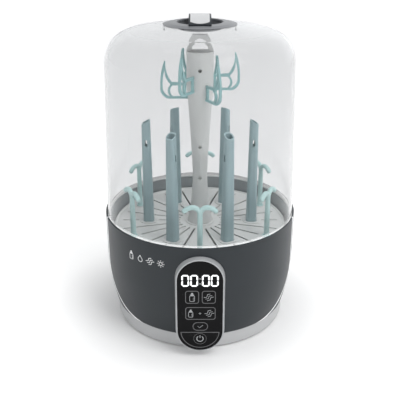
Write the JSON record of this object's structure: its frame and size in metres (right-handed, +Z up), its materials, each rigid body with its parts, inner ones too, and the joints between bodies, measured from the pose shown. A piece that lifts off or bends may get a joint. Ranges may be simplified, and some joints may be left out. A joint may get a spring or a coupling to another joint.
{
  "type": "bottle sterilizer",
  "caption": "Countertop steam sterilizer and dryer for baby bottles: round base with touch panel, steam bowl, lift-out rack with pegs, hooks and teat arms, and a tall clear dome.",
  "frame": {"origin": "middle of the base, on the table", "axes": "+Z up, the control panel faces -Y, +X is to the right as seen from the front"},
  "size_m": [0.2804, 0.2945, 0.446],
  "materials": {
    "shell_dark": "fine satin",
    "shell_light": "fine satin",
    "frame_silver": "silver paint",
    "panel_black": "polished",
    "clear_dome": "clear",
    "bowl_grey": "satin",
    "rack_grey": "satin",
    "peg_teal": "satin",
    "hook_mint": "satin",
    "arm_mint": "satin",
    "seal_white": "soft silicone",
    "pad_rubber": "matte",
    "steel": "brushed",
    "inner_metal": "plain",
    "inner_plastic": "plain",
    "board_green": "solder mask",
    "display": "moulded",
    "filter_paper": "pleated"
  },
  "bodies": {
    "base": {"front_cover": "shell_dark", "rear_cover": "shell_dark", "bottom_plate": "shell_dark", "filter_housing": "shell_dark", "foot_ring": "shell_light", "side_trim_left": "shell_light", "side_trim_right": "shell_light", "control_frame": "frame_silver", "control_glass": "panel_black", "steam_bowl": "bowl_grey", "air_hood": "bowl_grey", "rim_seal": "seal_white", "foot_pads": "pad_rubber", "heater_plate": "steel", "heating_element": "steel", "base_screws": "steel", "thermostat": "inner_metal", "blower_motor": "inner_metal", "air_heater": "inner_metal", "inlet_pins": "inner_metal", "blower_housing": "inner_plastic", "blower_lid": "inner_plastic", "air_duct": "inner_plastic", "power_inlet": "inner_plastic", "board_components": "inner_plastic", "control_board": "board_green", "power_board": "board_green", "display_module": "display", "touch_sensors": "display", "air_filter": "filter_paper"},
    "lid": {"dome": "clear_dome", "handle_cup": "shell_dark", "handle_bar": "shell_dark", "handle_inlay": "shell_light"},
    "rack": {"rack_tray": "rack_grey", "column_front": "rack_grey", "column_rear": "rack_grey", "column_screws": "steel", "column_nut": "rack_grey"},
    "fan": {"impeller": "inner_plastic"},
    "filter_flap": {"filter_door": "shell_dark"},
    "bottle_peg_1_body": {"bottle_peg_1": "peg_teal"},
    "bottle_peg_2_body": {"bottle_peg_2": "peg_teal"},
    "bottle_peg_3_body": {"bottle_peg_3": "peg_teal"},
    "bottle_peg_4_body": {"bottle_peg_4": "peg_teal"},
    "bottle_peg_5_body": {"bottle_peg_5": "peg_teal"},
    "bottle_peg_6_body": {"bottle_peg_6": "peg_teal"},
    "hook_post_1_body": {"hook_post_1": "hook_mint"},
    "hook_post_2_body": {"hook_post_2": "hook_mint"},
    "hook_post_3_body": {"hook_post_3": "hook_mint"},
    "hook_post_4_body": {"hook_post_4": "hook_mint"},
    "hook_post_5_body": {"hook_post_5": "hook_mint"},
    "hook_post_6_body": {"hook_post_6": "hook_mint"},
    "teat_arm_1_body": {"teat_arm_1": "arm_mint"},
    "teat_arm_2_body": {"teat_arm_2": "arm_mint"},
    "teat_arm_3_body": {"teat_arm_3": "arm_mint"},
    "teat_arm_4_body": {"teat_arm_4": "arm_mint"},
    "teat_arm_5_body": {"teat_arm_5": "arm_mint"},
    "teat_arm_6_body": {"teat_arm_6": "arm_mint"}
  },
  "joints": [
    {"name": "lid_lift", "type": "slide", "parent": "base", "child": "lid", "axis": [0, 0, 1], "range_m": [0, 0.6]},
    {"name": "rack_lift", "type": "slide", "parent": "base", "child": "rack", "axis": [0, 0, 1], "range_m": [0, 0.3]},
    {"name": "fan_spin", "type": "hinge", "parent": "base", "child": "fan", "pos_m": [0, 0.043, 0.02], "axis": [0, 0, 1], "continuous": true},
    {"name": "filter_door_hinge", "type": "hinge", "parent": "base", "child": "filter_flap", "pos_m": [0, 0.1432, 0.0336], "axis": [-1, 0, 0], "range_deg": [0, 90]},
    {"name": "peg_1_pull", "type": "slide", "parent": "rack", "child": "bottle_peg_1_body", "axis": [0, 0, 1], "range_m": [0, 0.04]},
    {"name": "peg_2_pull", "type": "slide", "parent": "rack", "child": "bottle_peg_2_body", "axis": [0, 0, 1], "range_m": [0, 0.04]},
    {"name": "peg_3_pull", "type": "slide", "parent": "rack", "child": "bottle_peg_3_body", "axis": [0, 0, 1], "range_m": [0, 0.04]},
    {"name": "peg_4_pull", "type": "slide", "parent": "rack", "child": "bottle_peg_4_body", "axis": [0, 0, 1], "range_m": [0, 0.04]},
    {"name": "peg_5_pull", "type": "slide", "parent": "rack", "child": "bottle_peg_5_body", "axis": [0, 0, 1], "range_m": [0, 0.04]},
    {"name": "peg_6_pull", "type": "slide", "parent": "rack", "child": "bottle_peg_6_body", "axis": [0, 0, 1], "range_m": [0, 0.04]},
    {"name": "hook_1_pull", "type": "slide", "parent": "rack", "child": "hook_post_1_body", "axis": [0, 0, 1], "range_m": [0, 0.04]},
    {"name": "hook_2_pull", "type": "slide", "parent": "rack", "child": "hook_post_2_body", "axis": [0, 0, 1], "range_m": [0, 0.04]},
    {"name": "hook_3_pull", "type": "slide", "parent": "rack", "child": "hook_post_3_body", "axis": [0, 0, 1], "range_m": [0, 0.04]},
    {"name": "hook_4_pull", "type": "slide", "parent": "rack", "child": "hook_post_4_body", "axis": [0, 0, 1], "range_m": [0, 0.04]},
    {"name": "hook_5_pull", "type": "slide", "parent": "rack", "child": "hook_post_5_body", "axis": [0, 0, 1], "range_m": [0, 0.04]},
    {"name": "hook_6_pull", "type": "slide", "parent": "rack", "child": "hook_post_6_body", "axis": [0, 0, 1], "range_m": [0, 0.04]},
    {"name": "arm_1_pull", "type": "slide", "parent": "rack", "child": "teat_arm_1_body", "axis": [0.5, -0.866, 0], "range_m": [0, 0.012]},
    {"name": "arm_2_pull", "type": "slide", "parent": "rack", "child": "teat_arm_2_body", "axis": [1, 0, 0], "range_m": [0, 0.012]},
    {"name": "arm_3_pull", "type": "slide", "parent": "rack", "child": "teat_arm_3_body", "axis": [0.5, 0.866, 0], "range_m": [0, 0.012]},
    {"name": "arm_4_pull", "type": "slide", "parent": "rack", "child": "teat_arm_4_body", "axis": [-0.5, 0.866, 0], "range_m": [0, 0.012]},
    {"name": "arm_5_pull", "type": "slide", "parent": "rack", "child": "teat_arm_5_body", "axis": [-1, 0, 0], "range_m": [0, 0.012]},
    {"name": "arm_6_pull", "type": "slide", "parent": "rack", "child": "teat_arm_6_body", "axis": [-0.5, -0.866, 0], "range_m": [0, 0.012]}
  ],
  "couplings": [
    {"joint": "rack_lift", "follows": "lid_lift", "ratio": 0.5}
  ]
}
